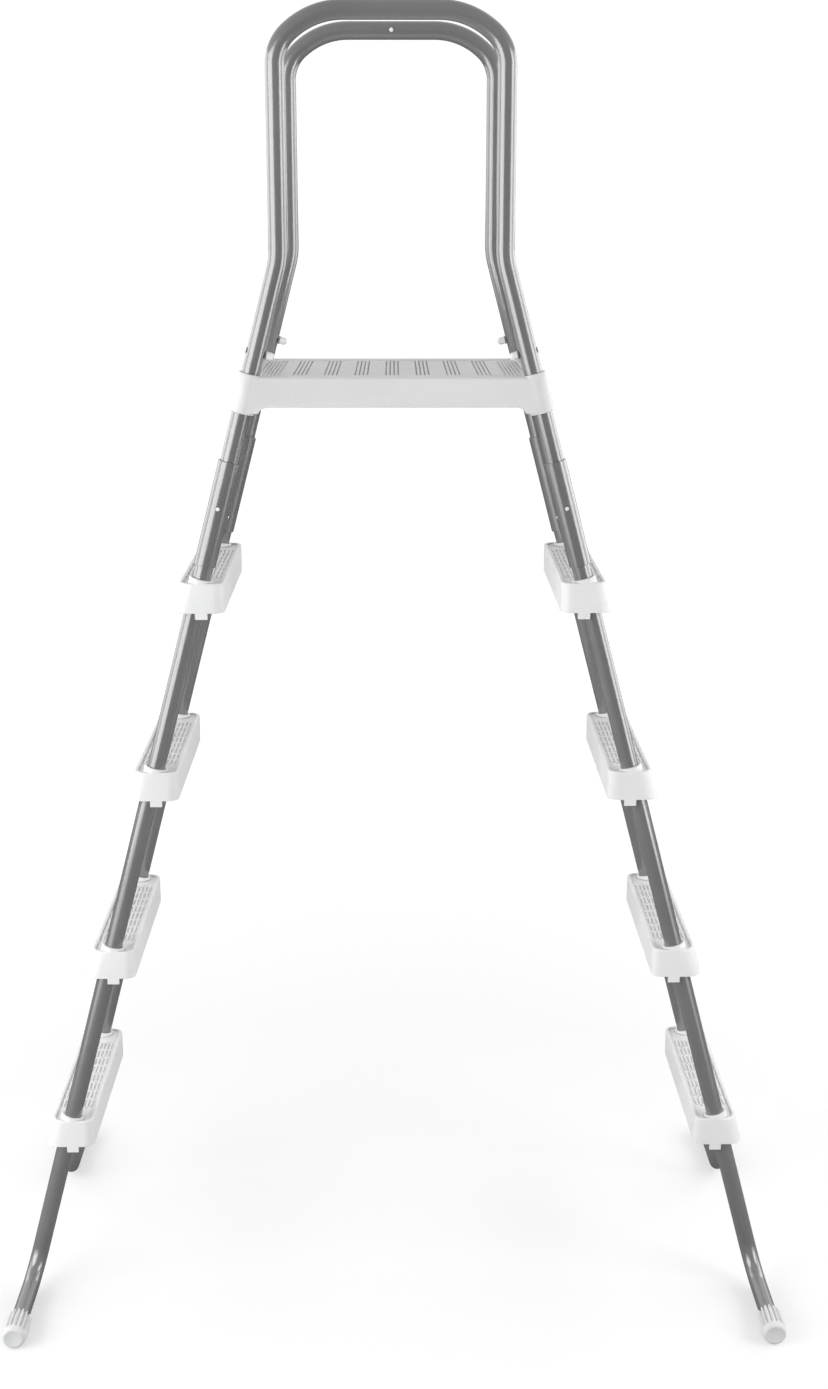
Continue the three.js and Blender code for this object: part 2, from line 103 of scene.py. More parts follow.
BUTTON_Z = DECK_Z - 177 * MM
BUTTON_R = 2.8 * MM
BUTTON_HOLE_R = BUTTON_R + 0.4 * MM
BUTTON_TIP = SLEEVE_R + 0.8 * MM
BUTTON_EDGE = 0.9 * MM  # radius of its rim
BUTTON_ROOT = 8.6 * MM  # where it meets its leaf
LEAF = ((-3.5 * MM, 8.2 * MM, -9 * MM), (3.5 * MM, 9 * MM, 26 * MM))  # the button's spring
RIVET_Z = SLEEVE_BOTTOM_Z + 20 * MM
RIVET_R = 2.4 * MM
RIVET_HEAD_R = 4.5 * MM
RIVET_HEAD = 1.6 * MM
BOLT_Z = DECK_Z + 32 * MM
BOLT_R = 3 * MM
BOLT_END = 24 * MM  # from the tube's centreline
BOLT_SHANK_R = BOLT_R - 0.1 * MM
BOLT_HEAD_R = 4.6 * MM
BOLT_HEAD = 1.4 * MM
NUT_R = 5.2 * MM
NUT_END = 26 * MM
NUT_BORE_R = BOLT_R + 0.2 * MM
FLANGE_R = 6 * MM
FLANGE = 2 * MM
PLUG_R = 2 * MM
PLUG_HEAD_R = 3 * MM
PLUG_HEAD = 1.6 * MM
PIN_R = 3 * MM
PIN_BELOW_TREAD = 30 * MM
PIN_HEAD_R = 5 * MM
PIN_HEAD = 2.5 * MM
INSIDE = 3 * MM  # how far pins, rivets and plugs reach in from the tube's surface

CAP_R = 18.5 * MM
CAP_MOUTH = 293 * MM  # open end, across the width
CAP_END = 350 * MM
CAP_FLOOR = FOOT_END + 0.8 * MM  # bottom of its bore
CAP_MOUTH_R = 17.3 * MM
CAP_END_R = 16.2 * MM
CAP_EDGE = 3.4 * MM  # radius of its end's edge
CAP_DIMPLE_R = 12 * MM
CAP_SWELL_END = 0.25  # as a share of the cap's length, like the next two
CAP_TAPER_START = 0.7
FLUTE_FADE = (0.74, 0.10)  # its start and its length
FLUTES = 16
FLUTE_DEPTH = 3.4 * MM
SCALLOP = 3.0 * MM  # how far each flute cuts back the mouth

HOLE_R = 13.2 * MM  # in the mouldings, for the tube
COLLAR_R = 17 * MM
HALF_WIDTH = TUBE_PLANE + COLLAR_R
SKIN = 3 * MM  # moulded wall
RIB = 3 * MM
FILLET = 1.5 * MM  # inside the mouldings
FOOT_EASE = 0.6 * MM  # at the foot of their skirts
SMALLEST_R = 1.0 * MM  # of an inset outline's corners
APRON = 40 * MM
DECK_EDGE = 4 * MM
SKIRT_INSET = 1.0 * MM  # the collars stand proud of the skirt
DECK_COLLAR = (-48 * MM, 4 * MM)  # from the deck
DECK_PANEL_X = 186 * MM  # half sizes of the recess in the deck
DECK_PANEL_Y = 139 * MM
DECK_PANEL_R = 8 * MM
DECK_RIB_X = 90 * MM
DECK_RIB_Y = 80 * MM
DECK_RIB_DEPTH = 28 * MM
GUSSET_DROP = 8 * MM
GUSSET_REACH = 20 * MM
GUSSET_FLAT = 5 * MM
STEP_INNER = 32.5 * MM
STEP_OUTER = 30.5 * MM
STEP_FLARE = 11 * MM
STEP_SKIRT = 42 * MM
STEP_EDGE = 2.5 * MM
STEP_INNER_R = 16 * MM
STEP_OUTER_R = 22 * MM
STEP_LIP = 5 * MM
STEP_COLLAR = (-38 * MM, 5 * MM)  # from the tread
STEP_RIBS = (-80 * MM, 0.0, 80 * MM)
STEP_RIB_DEPTH = 26 * MM
TAB = (-9 * MM, 8 * MM)  # along the step
TAB_FOOT = -50.5 * MM
TAB_THICKNESS = 3.5 * MM
STEPS = 4
STEP_RISE = 272 * MM
LAST_RISE = 280 * MM
STEP_HEIGHTS = [DECK_Z - LAST_RISE - k * STEP_RISE for k in range(STEPS)]

SUNK = 0.4 * MM  # how far grip bars reach into the surface below them
BAR_EASE = 0.5 * MM
HOLE_PITCH = 31 * MM
HOLE_ROWS = range(-4, 5)
HOLE_COLUMNS = (-15 * MM, 0.0, 15 * MM)
DRAIN_HOLE_R = 2.3 * MM
TREAD_BAR_PITCH = 6 * MM
TREAD_BAR_COLUMNS = range(-4, 4)
TREAD_BAR = Vector((1.6, 12.0)) * MM  # half sizes
TREAD_BAR_TOP = 1.6 * MM
GROOVE_GROUPS = range(-3, 4)
GROOVE_GROUP_PITCH = 42.3 * MM
GROOVE_PITCH = 5.6 * MM
GROOVES = 4  # in a group
GROOVE_WIDTH = 2.3 * MM
GROOVE_MARGIN = 5 * MM  # from its end to the plate's edge
GROOVE_SLOPE = 0.25 * MM
BRIDGES = range(-9, 10)
BRIDGE_PITCH = 12.4 * MM
BRIDGE_WIDTH = 3.4 * MM
PLATE_X = 154 * MM  # half sizes
PLATE_Y = 136 * MM
PLATE_LEVELS = (1.8 * MM, 1.0 * MM, 0.2 * MM, -0.2 * MM)  # top, bridges, grooves, underside
STUD = 1.3 * MM  # half size
STUD_Y = 133.5 * MM
STUD_LEVELS = (1.4 * MM, 2.6 * MM)
SIDE_RIBS = 5  # on each side of the plate
SIDE_RIB_X = 159 * MM
SIDE_RIB_PITCH = 5.2 * MM
SIDE_RIB_Y = 133 * MM

SIDES = (("left", -1), ("right", 1))
ENDS = (("near", -1), ("far", 1))
ALONG_Y = Matrix.Rotation(-math.pi / 2, 4, "X")  # turned profiles: their Z becomes +Y
ALONG_X = Matrix.Rotation(math.pi / 2, 4, "Y")  # and here +X


def leg_x(z):
    """Distance of a leg's centreline from the middle, at height z."""
    return FOOT_X - math.tan(LEAN) * (z - FOOT_AXIS_Z)


def on_leg(z, y=0.0):
    """From the right leg's own axes (Z up the leg, X away from the middle) to its place at z."""
    return Matrix.Translation((leg_x(z), y, z)) @ Matrix.Rotation(-LEAN, 4, "Y")


# ---- Materials ----


class Nodes:
    """A material's node tree, with its Principled shader and object coordinates at hand."""

    def __init__(self, name):
        self.material = bpy.data.materials.new(name)
        self.material.use_nodes = True
        self.tree = self.material.node_tree
        self.shader = self.tree.nodes["Principled BSDF"]
        place = self.add("ShaderNodeTexCoord")
        which = self.add("ShaderNodeObjectInfo")
        spread = self.add("ShaderNodeVectorMath", operation="SCALE")
        spread.inputs["Scale"].default_value = 7.0  # metres, so that no two pieces look the same
        self.link(which.outputs["Random"], spread.inputs[0])
        shifted = self.add("ShaderNodeVectorMath", operation="ADD")
        self.link(place.outputs["Object"], shifted.inputs[0])
        self.link(spread.outputs[0], shifted.inputs[1])
        self.where = shifted.outputs[0]

    def add(self, kind, **settings):
        node = self.tree.nodes.new(kind)
        for key, value in settings.items():
            setattr(node, key, value)
        return node

    def link(self, source, target):
        self.tree.links.new(source, target)

    def set(self, **values):
        for key, value in values.items():
            self.shader.inputs[key.replace("_", " ")].default_value = value

    def noise(self, scale, detail=2.0, roughness=0.5):
        node = self.add("ShaderNodeTexNoise")
        node.inputs["Scale"].default_value = scale
        node.inputs["Detail"].default_value = detail
        node.inputs["Roughness"].default_value = roughness
        self.link(self.where, node.inputs["Vector"])
        return node.outputs["Fac"]

    def spread(self, source, low, high, start=0.35, end=0.65):
        """The source between two numbers."""
        node = self.add("ShaderNodeMapRange")
        for key, value in zip(("From Min", "From Max", "To Min", "To Max"), (start, end, low, high)):
            node.inputs[key].default_value = value
        self.link(source, node.inputs["Value"])
        return node.outputs["Result"]

    def mix(self, factor, first, second):
        """A colour between two others; each is a colour or a socket."""
        node = self.add("ShaderNodeMix", data_type="RGBA")
        sockets = (node.inputs[0], node.inputs[6], node.inputs[7])
        for value, socket in zip((factor, first, second), sockets):
            if isinstance(value, (tuple, float, int)):
                socket.default_value = value
            else:
                self.link(value, socket)
        return node.outputs[2]

    def crevices(self, reach, darkest):
        """Painted shade: 1 in the open, and down to the darkest value in hollows about as deep as
        the reach.
        """
        node = self.add("ShaderNodeAmbientOcclusion", samples=8)
        node.inputs["Distance"].default_value = reach
        return self.spread(node.outputs["AO"], darkest, 1.0, start=0.35, end=0.85)

    def bump(self, height, distance, strength=1.0, under=None):
        node = self.add("ShaderNodeBump")
        node.inputs["Distance"].default_value = distance
        node.inputs["Strength"].default_value = strength
        self.link(height, node.inputs["Height"])
        if under is not None:
            self.link(under, node.inputs["Normal"])
        return node.outputs["Normal"]


def grey(value, tint=(1.0, 1.0, 1.0)):
    return tuple(value * t for t in tint) + (1.0,)


def tube_paint():
    """Dark grey powder coat: orange peel under a clear gloss, with faint rubbed patches."""
    n = Nodes("tube_paint")
    patches = n.spread(n.noise(9.0, detail=4.0, roughness=0.6), 0.0, 1.0, start=0.42, end=0.66)
    base = n.mix(patches, grey(0.232, (1.0, 0.985, 0.985)), grey(0.250, (1.0, 0.99, 0.985)))
    flecks = n.spread(n.noise(2600.0, detail=1.0), 0.0, 0.30, start=0.62, end=0.74)
    n.link(n.mix(flecks, base, grey(0.32, (1.0, 0.99, 0.98))), n.shader.inputs["Base Color"])
    gloss = n.spread(n.noise(60.0, detail=3.0, roughness=0.7), 0.20, 0.27)
    n.link(gloss, n.shader.inputs["Roughness"])
    n.set(Metallic=0.35, Coat_Weight=1.0, Coat_Roughness=0.10)
    peel = n.bump(n.noise(420.0), 0.04 * MM)
    n.link(peel, n.shader.inputs["Normal"])
    return n.material


def moulded(name, light, shade, roughness, grain=1700.0, grain_depth=0.03 * MM, darkest=0.8):
    """Moulded plastic: a fine spark-eroded grain, faint flow shading, handling marks and painted
    shade in crevices.

    grain is the texture's scale; darkest is how far the painted shade dims crevices.
    """
    n = Nodes(name)
    flow = n.spread(n.noise(7.0, detail=3.0, roughness=0.55), 0.0, 1.0, start=0.38, end=0.64)
    base = n.mix(flow, light, shade)
    scuffs = n.spread(n.noise(85.0, detail=6.0, roughness=0.75), 0.0, 0.30, start=0.60, end=0.75)
    worn = n.mix(scuffs, base, tuple(0.86 * c for c in shade[:3]) + (1.0,))
    # Painted shade: the base colour is dimmed in crevices by ambient occlusion.
    painted_crevice_shade = n.add("ShaderNodeVectorMath", operation="SCALE")
    n.link(worn, painted_crevice_shade.inputs[0])
    n.link(n.crevices(3.0 * MM, darkest), painted_crevice_shade.inputs["Scale"])
    n.link(painted_crevice_shade.outputs[0], n.shader.inputs["Base Color"])
    gloss = n.noise(38.0, detail=4.0, roughness=0.7)
    n.link(n.spread(gloss, roughness - 0.05, roughness + 0.07), n.shader.inputs["Roughness"])
    n.set(Subsurface_Weight=0.08, Subsurface_Scale=2 * MM)
    swell = n.bump(n.noise(24.0, detail=1.0), 0.3 * MM, strength=0.25)
    n.link(n.bump(n.noise(grain), grain_depth, under=swell), n.shader.inputs["Normal"])
    return n.material


def zinc():
    """Bright zinc plate on small steel fasteners."""
    n = Nodes("zinc")
    bloom = n.spread(n.noise(240.0, detail=3.0), 0.0, 1.0)
    n.link(n.mix(bloom, grey(0.52, (1.0, 1.0, 1.02)), grey(0.62, (1.03, 1.0, 0.94))),
           n.shader.inputs["Base Color"])
    n.link(n.spread(n.noise(900.0), 0.26, 0.42), n.shader.inputs["Roughness"])
    n.set(Metallic=1.0)
    n.link(n.bump(n.noise(2200.0, detail=1.0), 0.02 * MM), n.shader.inputs["Normal"])
    return n.material


COOL = (0.995, 0.995, 1.0)
MATERIALS = {
    "tube_paint": tube_paint(),
    "panel_plastic": moulded("panel_plastic", grey(0.735, COOL), grey(0.70), 0.38),
    # darkest deepens the painted crevice shade on the steps and the foot caps.
    "tread_plastic": moulded("tread_plastic", grey(0.82, COOL), grey(0.78), 0.42, darkest=0.5),
    "fitting_plastic": moulded("fitting_plastic", grey(0.86), grey(0.82), 0.30),
    "foot_rubber": moulded("foot_rubber", grey(0.74), grey(0.69), 0.58,
                           grain=1100.0, grain_depth=0.06 * MM, darkest=0.45),
    "zinc": zinc(),
}

# ---- Mesh building ----


def loft(bm, rings, loop=False, cap_start=False, cap_end=False):
    """Quads between rings of equal length; the last ring joins the first if loop."""
    rows = [[bm.verts.new(p) for p in ring] for ring in rings]
    followers = rows[1:] + (rows[:1] if loop else [])
    for a, b in zip(rows, followers):
        for i in range(len(a)):
            j = (i + 1) % len(a)
            bm.faces.new((a[i], a[j], b[j], b[i]))
    if cap_start:
        bm.faces.new(list(reversed(rows[0])))
    if cap_end:
        bm.faces.new(rows[-1])
    return rows


def circle(radius, z, sides):
    turn = 2 * math.pi / sides
    angles = [k * turn for k in range(sides)]
    return [Vector((radius * math.cos(a), radius * math.sin(a), z)) for a in angles]


def turned(profile, sides=32, place=Matrix.Identity(4)):
    """A turned solid from (radius, z) points that start and end on its axis."""
    bm = bmesh.new()
    rows = loft(bm, [[place @ p for p in circle(r, z, sides)] for r, z in profile[1:-1]])
    for row, (_, z) in ((rows[0], profile[0]), (rows[-1], profile[-1])):
        tip = bm.verts.new(place @ Vector((0, 0, z)))
        for i in range(sides):
            bm.faces.new((row[i], row[(i + 1) % sides], tip))
    return bm


def arc(cx, cz, r, start, end, steps=5):
    """(radius, z) points round a fillet, from one angle to the other in degrees."""
    angles = [math.radians(start + (end - start) * k / steps) for k in range(steps + 1)]
    return [(cx + r * math.cos(a), cz + r * math.sin(a)) for a in angles]


def box_mesh(bm, low, high, place=Matrix.Identity(4)):
    """A box between two corners."""
    size = Vector(high) - Vector(low)
    centre = (Vector(high) + Vector(low)) / 2
    scale = Matrix.Diagonal((*size, 1.0))
    bmesh.ops.create_cube(bm, size=1.0, matrix=place @ Matrix.Translation(centre) @ scale)


def rod(bm, radius, z0, z1, place=Matrix.Identity(4), sides=48):
    """A closed cylinder from z0 to z1 on place's own Z."""
    loft(bm, [[place @ p for p in circle(radius, z, sides)] for z in (z0, z1)],
         cap_start=True, cap_end=True)


def finish_faces(bm, angle=32.0):
    """Faces out and smooth, with edges sharp where the faces turn by more than the angle."""
    bmesh.ops.recalc_face_normals(bm, faces=bm.faces)
    for face in bm.faces:
        face.smooth = True
    for edge in bm.edges:
        if len(edge.link_faces) == 2:
            edge.smooth = edge.calc_face_angle(0.0) < math.radians(angle)


def mesh_of(name, bm, angle=32.0):
    """A mesh from a bmesh, which is used up."""
    finish_faces(bm, angle)
    mesh = bpy.data.meshes.new(name)
    bm.to_mesh(mesh)
    bm.free()
    return mesh


def boolean(mesh, cutter, operation, angle=32.0):
    """The mesh joined to or cut by a bmesh, as a new mesh. The cutter is used up."""
    target = bpy.data.objects.new("boolean_target", mesh)
    other = bpy.data.objects.new("boolean_cutter", mesh_of("boolean_cutter", cutter))
    for obj in (target, other):
        bpy.context.scene.collection.objects.link(obj)
    step = target.modifiers.new("boolean", "BOOLEAN")
    step.operation = operation
    step.solver = "EXACT"
    step.use_self = True
    step.object = other
    dg = bpy.context.evaluated_depsgraph_get()
    result = bmesh.new()
    result.from_mesh(bpy.data.meshes.new_from_object(target.evaluated_get(dg)))
    for obj in (target, other):
        bpy.data.objects.remove(obj)
    bmesh.ops.dissolve_degenerate(result, edges=result.edges, dist=1e-7)
    return mesh_of(mesh.name, result, angle)


def mirrored(mesh, side, end):
    """The mesh on the other side and/or the other end, with its faces still pointing out."""
    copy = mesh.copy()
    copy.transform(Matrix.Diagonal((side, end, 1.0, 1.0)))
    if side * end < 0:
        copy.flip_normals()
    return copy


def piece(node, mesh, body, slot, place=(0.0, 0.0, 0.0)):
    """Puts a mesh in the scene in place of a CAD node."""
    obj = bpy.data.objects.new(f"{node}_fine", mesh)
    bpy.context.scene.collection.objects.link(obj)
    if not mesh.materials:
        mesh.materials.append(MATERIALS[slot])
    obj.location = place
    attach(obj, body)
    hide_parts(node)
    return obj


# ---- Tubes ----


def bent_path(points, radii, degrees_per_step=4.0):
    """Points and tangents along straight runs joined by round bends."""
    points = [Vector(p) for p in points]
    stations = [(points[0], (points[1] - points[0]).normalized())]
    for before, corner, after, radius in zip(points, points[1:], points[2:], radii):
        into = (corner - before).normalized()
        out = (after - corner).normalized()
        turn = into.angle(out)
        inward = (out - into * into.dot(out)).normalized()
        centre = corner - into * radius * math.tan(turn / 2) + inward * radius
        steps = max(2, round(math.degrees(turn) / degrees_per_step))
        for k in range(steps + 1):
            a = turn * k / steps
            stations.append((centre - inward * radius * math.cos(a) + into * radius * math.sin(a),
                             into * math.cos(a) + inward * math.sin(a)))
    stations.append((points[-1], (points[-1] - points[-2]).normalized()))
    return stations


def swept_rings(stations, radius, sides):
    """A circle at each station, turned with the path and not about it."""
    rings = []
    tangent = stations[0][1]
    side = tangent.orthogonal().normalized()
    for point, heading in stations:
        side = (tangent.rotation_difference(heading) @ side).normalized()
        tangent = heading
        up = heading.cross(side)
        turn = 2 * math.pi / sides
        rings.append([point + radius * (math.cos(k * turn) * side + math.sin(k * turn) * up)
                      for k in range(sides)])
    return rings


def pipe(stations, outer, inner, sides=48, chamfer=0.35 * MM):
    """A hollow tube along the stations, open at both ends, with its rims eased."""
    bm = bmesh.new()
    (first, heading), (last, leaving) = stations[0], stations[-1]
    path = [stations[0], (first + heading * chamfer, heading)] + stations[1:-1]
    path += [(last - leaving * chamfer, leaving), stations[-1]]
    rims = swept_rings(path, outer - chamfer, sides)
    skin = swept_rings(path, outer, sides)[1:-1]
    bore = swept_rings(path, inner, sides)
    loft(bm, [rims[0]] + skin + [rims[-1]] + list(reversed(bore)), loop=True)
    return bm


def peg_cutter(radius, y0, y1, z, sides=24):
    """A cutter along Y through the right leg at height z."""
    bm = bmesh.new()
    rod(bm, radius, y0, y1, on_leg(z) @ ALONG_Y, sides)
    return bm


def merged(parts):
    """One bmesh from several, which are used up."""
    whole = bmesh.new()
    for part in parts:
        mesh = bpy.data.meshes.new("part")
        part.to_mesh(mesh)
        part.free()
        whole.from_mesh(mesh)
        bpy.data.meshes.remove(mesh)
    return whole


def on_side(bm, side):
    """The bmesh itself, moved from the right side to the given one."""
    bmesh.ops.transform(bm, matrix=Matrix.Diagonal((side, 1.0, 1.0, 1.0)), verts=bm.verts)
    return bm


def handrail():
    """Up at the legs' lean, upright, over the top and down again; outer face towards -Y."""
    kink_z = DECK_Z + (leg_x(DECK_Z) - RAIL_HALF_SPREAD) / math.tan(LEAN)
    half = [(leg_x(RAIL_END_Z), 0, RAIL_END_Z), (RAIL_HALF_SPREAD, 0, kink_z),
            (RAIL_HALF_SPREAD, 0, RAIL_TOP_Z - RAIL_CORNER_DROP),
            (RAIL_HALF_SPREAD - RAIL_CORNER_WIDTH, 0, RAIL_TOP_Z)]
    points = [(-x, y, z) for x, y, z in half] + list(reversed(half))
    bends = [RAIL_KINK_R, RAIL_CORNER_R, RAIL_CROWN_R]
    radii = bends + bends[::-1]
    mesh = mesh_of("handrail", pipe(bent_path(points, radii), TUBE_R, TUBE_R - TUBE_WALL))
    cutters = []
    for _, side in SIDES:
        cutters.append(on_side(peg_cutter(BUTTON_HOLE_R, -TUBE_R - BITE, 0, BUTTON_Z), side))
        bolt = bmesh.new()
        rod(bolt, BOLT_R + GAP, -TUBE_R - BITE, TUBE_R + BITE, on_leg(BOLT_Z) @ ALONG_X, 24)
        cutters.append(on_side(bolt, side))
    plug = bmesh.new()
    place = Matrix.Translation((0, 0, RAIL_TOP_Z)) @ ALONG_Y
    rod(plug, PLUG_R + GAP, 0, TUBE_R + BITE, place, 24)
    return boolean(mesh, merged(cutters + [plug]), "DIFFERENCE")


def leg():
    """The right far leg: down the lean, then round a bend to lie on the floor."""
    points = [(leg_x(LEG_TOP_Z), 0, LEG_TOP_Z), (FOOT_X, 0, FOOT_AXIS_Z),
              (FOOT_X, FOOT_END - TUBE_PLANE, FOOT_AXIS_Z)]
    mesh = mesh_of("leg", pipe(bent_path(points, (LEG_BEND_R,)), TUBE_R, TUBE_R - TUBE_WALL))
    cutters = [peg_cutter(RIVET_R + GAP, -TUBE_R - BITE, 0, RIVET_Z)]
    cutters += [peg_cutter(PIN_R + GAP, -TUBE_R - BITE, 0, z - PIN_BELOW_TREAD)
                for z in STEP_HEIGHTS]
    mesh = boolean(mesh, merged(cutters), "DIFFERENCE")
    mesh.transform(Matrix.Translation((0, TUBE_PLANE, 0)))
    return mesh


def sleeve():
    """The right far sleeve, with a hole for the button (outer face) and for the rivet (inner)."""
    points = [(leg_x(z), 0, z) for z in (SLEEVE_BOTTOM_Z, SLEEVE_TOP_Z)]
    stations = bent_path(points, ())
    mesh = mesh_of("sleeve", pipe(stations, SLEEVE_R, SLEEVE_BORE_R, 64, chamfer=0.5 * MM))
    cutters = [peg_cutter(BUTTON_HOLE_R, 0, SLEEVE_R + BITE, BUTTON_Z, 32),
               peg_cutter(RIVET_R + GAP, -SLEEVE_R - BITE, 0, RIVET_Z)]
    mesh = boolean(mesh, merged(cutters), "DIFFERENCE")
    mesh.transform(Matrix.Translation((0, TUBE_PLANE, 0)))
    return mesh


# ---- Small fittings ----


def snap_button():
    """Right far: a domed button with its spring leaf inside the tube."""
    profile = [(0, BUTTON_ROOT), (BUTTON_R, BUTTON_ROOT)]
    profile += arc(BUTTON_R - BUTTON_EDGE, BUTTON_TIP - 0.25 * MM - BUTTON_EDGE, BUTTON_EDGE, 0, 80)
    profile += [(BUTTON_R * 0.35, BUTTON_TIP - 0.03 * MM), (0, BUTTON_TIP)]
    place = on_leg(BUTTON_Z, TUBE_PLANE)
    mesh = mesh_of("snap_button", turned(profile, 32, place @ ALONG_Y))
    leaf = bmesh.new()
    box_mesh(leaf, *LEAF, place)
    return boolean(mesh, leaf, "UNION")


def sleeve_rivet():
    """Right far: a domed head against the sleeve's inner face, and a shank into the leg."""
    face = -SLEEVE_R - GAP
    dome_r = RIVET_HEAD_R - 0.1 * MM
    profile = [(0, face - RIVET_HEAD)]
    profile += [(dome_r * math.sin(math.radians(a)), face - RIVET_HEAD * math.cos(math.radians(a)))
                for a in (20, 40, 60, 80)]
    profile += [(RIVET_HEAD_R, face), (RIVET_R, face), (RIVET_R, INSIDE - TUBE_R),
                (0, INSIDE - TUBE_R)]
    return mesh_of("sleeve_rivet", turned(profile, 32, on_leg(RIVET_Z, TUBE_PLANE) @ ALONG_Y))


def handrail_bolt():
    """Right: through the tube along X, with its low round head on the outer side."""
    face = TUBE_R + GAP
    profile = [(0, -BOLT_END), (BOLT_R - 0.5 * MM, -BOLT_END), (BOLT_SHANK_R, 0.5 * MM - BOLT_END),
               (BOLT_SHANK_R, face), (BOLT_HEAD_R - 0.2 * MM, face),
               (BOLT_HEAD_R, face + 0.25 * MM)]
    profile += arc(0, face - 7.9 * MM, 9.3 * MM, 61, 85)
    profile += [(0, face + BOLT_HEAD)]
    return mesh_of("handrail_bolt", turned(profile, 32, on_leg(BOLT_Z) @ ALONG_X))


def cap_nut():
    """A domed cap on a dark flange that lies against the tube."""
    face = -TUBE_R - GAP
    flange = face - FLANGE
    ease = 0.2 * MM
    profile = [(0, -NUT_END)]
    profile += arc(0, NUT_R - NUT_END, NUT_R, -78, 0, 8)
    profile += [(NUT_R, flange - 0.3 * MM), (NUT_R + 0.4 * MM, flange), (FLANGE_R - ease, flange),
                (FLANGE_R, flange + ease), (FLANGE_R, face - ease), (FLANGE_R - ease, face),
                (NUT_BORE_R, face), (NUT_BORE_R, -BOLT_END - 0.4 * MM), (0, -BOLT_END - 0.4 * MM)]
    mesh = mesh_of("cap_nut", turned(profile, 40, on_leg(BOLT_Z) @ ALONG_X))
    mesh.materials.append(MATERIALS["fitting_plastic"])
    mesh.materials.append(MATERIALS["tube_paint"])
    down = on_leg(BOLT_Z).inverted()
    for polygon in mesh.polygons:
        if (down @ polygon.center).x > flange - 0.1 * MM:
            polygon.material_index = 1
    return mesh


def rail_plug():
    """A small round head in the inner face of the top bar."""
    head = TUBE_R + GAP
    profile = [(0, TUBE_R - INSIDE), (PLUG_R, TUBE_R - INSIDE), (PLUG_R, head), (PLUG_HEAD_R, head)]
    profile += arc(PLUG_HEAD_R - 0.6 * MM, head + 0.9 * MM, 0.6 * MM, 0, 80, 4)
    profile += [(0, head + PLUG_HEAD)]
    place = Matrix.Translation((0, 0, RAIL_TOP_Z)) @ ALONG_Y
    return mesh_of("rail_plug", turned(profile, 32, place))


def step_pin():
    """Far: a flat head against the step's collar, and a shank into the leg."""
    face = -COLLAR_R - GAP
    edge = 0.7 * MM
    profile = [(0, face - PIN_HEAD)]
    profile += arc(PIN_HEAD_R - edge, face - PIN_HEAD + edge, edge, -90, 0, 4)
    profile += [(PIN_HEAD_R, face), (PIN_R, face), (PIN_R, INSIDE - TUBE_R),
                (PIN_R - 0.5 * MM, INSIDE - TUBE_R + 0.5 * MM), (0, INSIDE - TUBE_R + 0.5 * MM)]
    return mesh_of("step_pin", turned(profile, 24, ALONG_Y))


# ---- Foot caps ----


def smooth_step(t):
    t = max(0.0, min(1.0, t))
    return t * t * (3 - 2 * t)


def flute(angle):
    """0 on a ridge and 1 in the middle of a flute."""
    return 0.5 - 0.5 * math.cos(FLUTES * angle)


def cap_radius(y, angle):
    """Outer radius: a swell from the mouth, flutes that fade out, and a taper to the end."""
    along = (y - CAP_MOUTH) / (CAP_END - CAP_MOUTH)
    swell = CAP_MOUTH_R + (CAP_R - CAP_MOUTH_R) * smooth_step(along / CAP_SWELL_END)
    taper = smooth_step((along - CAP_TAPER_START) / (1 - CAP_TAPER_START))
    fade = 1 - smooth_step((along - FLUTE_FADE[0]) / FLUTE_FADE[1])
    return swell - (CAP_R - CAP_END_R) * taper - FLUTE_DEPTH * fade * flute(angle)


def cap_ring(y, radius_at, scallop=0.0):
    """A ring of the cap, flat below; scallop moves the flutes' share of it along the cap."""
    sides = FLUTES * 10
    turn = 2 * math.pi / sides
    points = []
    for k in range(sides):
        a = k * turn
        r = radius_at(a)
        z = max(r * math.sin(a), -FOOT_AXIS_Z)
        points.append(Vector((FOOT_X + r * math.cos(a), y + scallop * flute(a), FOOT_AXIS_Z + z)))
    return points


def foot_cap():
    """The right far cap, on its own axis along Y, with a small flat to stand on."""
    rings = [cap_ring(CAP_FLOOR, lambda a: HOLE_R), cap_ring(CAP_MOUTH + 5 * MM, lambda a: HOLE_R),
             cap_ring(CAP_MOUTH + 0.5 * MM, lambda a: HOLE_R, SCALLOP),
             cap_ring(CAP_MOUTH, lambda a: HOLE_R + 0.3 * MM, SCALLOP)]
    body, slices, scalloped = CAP_END - CAP_EDGE - CAP_MOUTH, 40, 10
    for k in range(slices + 1):
        y = CAP_MOUTH + body * k / slices
        scallop = SCALLOP * max(0.0, 1 - k / scalloped)
        rings.append(cap_ring(y, lambda a, y=y: cap_radius(y, a), scallop))
    for k in range(1, 7):
        a = math.radians(90 * k / 6)
        rings.append(cap_ring(CAP_END - CAP_EDGE * (1 - math.sin(a)),
                              lambda _, a=a: CAP_END_R - CAP_EDGE * (1 - math.cos(a))))
    rings += [cap_ring(CAP_END, lambda a: CAP_DIMPLE_R),
              cap_ring(CAP_END - 0.3 * MM, lambda a: CAP_DIMPLE_R - 0.6 * MM)]
    bm = bmesh.new()
    loft(bm, rings, cap_start=True, cap_end=True)
    return mesh_of("foot_cap", bm, 40)


# ---- Mouldings ----


def rounded_outline(x0, x1, half_y, r0, r1, z, steps=8):
    """A rounded rectangle at height z; corners at x0 have radius r0 and at x1 radius r1."""
    corners = ((x1 - r1, half_y - r1, r1, 0), (x0 + r0, half_y - r0, r0, 90),
               (x0 + r0, r0 - half_y, r0, 180), (x1 - r1, r1 - half_y, r1, 270))
    points = []
    for cx, cy, r, start in corners:
        for k in range(steps + 1):
            a = math.radians(start + 90 * k / steps)
            points.append(Vector((cx + r * math.cos(a), cy + r * math.sin(a), z)))
    return points


